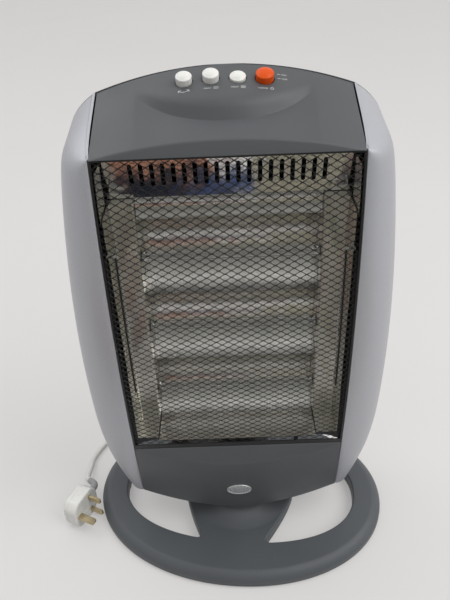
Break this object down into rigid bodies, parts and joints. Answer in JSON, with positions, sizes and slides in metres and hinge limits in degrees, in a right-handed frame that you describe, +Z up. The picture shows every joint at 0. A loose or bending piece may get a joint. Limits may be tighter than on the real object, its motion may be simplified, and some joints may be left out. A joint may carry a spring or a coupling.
{
  "type": "halogen heater",
  "caption": "Upright halogen heater with silver side panels, dark grey top with push buttons, black mesh over mirror reflectors and quartz lamps, on an oval base with crescent openings",
  "frame": {"origin": "on the floor under the middle of the base, on the swing axis", "axes": "+X to the right seen from the front, +Y to the back, +Z up"},
  "size_m": [0.402, 0.3743, 0.5423],
  "materials": {
    "dark_plastic": "satin",
    "silver_plastic": "satin",
    "black_sheet": "satin",
    "black_plastic": "matte",
    "badge_silver": "gloss",
    "mirror_sheet": "mirror",
    "steel": "brushed",
    "quartz": "clear",
    "filament": "matte",
    "ceramic": "matte",
    "nylon": "satin",
    "white_plastic": "gloss",
    "orange_plastic": "gloss",
    "rubber": "matte",
    "grey_rubber": "matte",
    "white_cable": "satin",
    "black_cable": "satin",
    "brass": "polished"
  },
  "bodies": {
    "base": {"base_shell": "dark_plastic", "base_floor_plate": "black_plastic", "rubber_feet": "rubber", "base_screws": "steel", "pivot_post": "steel", "thrust_washer": "nylon", "retaining_clip": "steel", "gear_sector": "nylon", "inner_lead": "black_cable", "cord_clamp": "black_plastic", "cord_strain_relief": "white_cable", "supply_cord": "white_cable", "cord_coil": "white_cable", "plug_lead": "white_cable", "cord_tie": "black_plastic", "plug_sleeve": "grey_rubber", "plug_body": "white_plastic", "plug_pins": "brass"},
    "head": {"chassis_floor": "black_sheet", "pivot_bush": "nylon", "swing_motor": "steel", "motor_bracket": "steel", "bottom_panel": "dark_plastic", "badge_blank": "badge_silver", "left_side_panel": "silver_plastic", "right_side_panel": "silver_plastic", "top_panel": "dark_plastic", "rear_shell": "dark_plastic", "rear_screws": "steel", "grille_frame": "black_sheet", "grille_net": "black_sheet", "reflector": "mirror_sheet", "top_deflector": "mirror_sheet", "left_side_reflector": "mirror_sheet", "right_side_reflector": "mirror_sheet", "left_lamp_bracket": "steel", "right_lamp_bracket": "steel", "upper_lamp_tube": "quartz", "middle_lamp_tube": "quartz", "lower_lamp_tube": "quartz", "lamp_filaments": "filament", "lamp_end_caps": "ceramic", "heat_shield": "steel", "thermal_cutout": "black_plastic", "switch_block": "nylon", "tilt_switch": "nylon", "terminal_block": "nylon", "wiring_loom": "black_cable", "wire_tube": "black_cable"},
    "pinion": {"motor_pinion": "nylon"},
    "swing_button": {"swing_button": "white_plastic"},
    "heat_button_one": {"heat_button_one": "white_plastic"},
    "heat_button_two": {"heat_button_two": "white_plastic"},
    "power_button": {"power_button": "orange_plastic"},
    "tilt_weight": {"tilt_weight": "brass"}
  },
  "joints": [
    {"name": "head_swing", "type": "hinge", "parent": "base", "child": "head", "pos_m": [0, 0, 0.045], "axis": [0, 0, 1], "range_deg": [-42, 28]},
    {"name": "pinion_turn", "type": "hinge", "parent": "head", "child": "pinion", "pos_m": [0, 0.045, 0.067], "axis": [0, 0, 1], "range_deg": [-172, 116]},
    {"name": "swing_button_press", "type": "slide", "parent": "head", "child": "swing_button", "axis": [0, 0.3714, -0.9285], "range_m": [0, 0.004], "stiffness_N_per_m": 400, "springref_m": -0.001},
    {"name": "heat_one_press", "type": "slide", "parent": "head", "child": "heat_button_one", "axis": [0, 0.3714, -0.9285], "range_m": [0, 0.004], "stiffness_N_per_m": 400, "springref_m": -0.001},
    {"name": "heat_two_press", "type": "slide", "parent": "head", "child": "heat_button_two", "axis": [0, 0.3714, -0.9285], "range_m": [-0.004, 0]},
    {"name": "power_press", "type": "slide", "parent": "head", "child": "power_button", "axis": [0, 0.3714, -0.9285], "range_m": [0, 0.004], "stiffness_N_per_m": 400, "springref_m": -0.001},
    {"name": "tilt_swing", "type": "hinge", "parent": "head", "child": "tilt_weight", "pos_m": [-0.072, 0.014, 0.09], "axis": [0, 1, 0], "range_deg": [-20, 20]}
  ],
  "couplings": [
    {"joint": "pinion_turn", "follows": "head_swing", "ratio": 4}
  ]
}
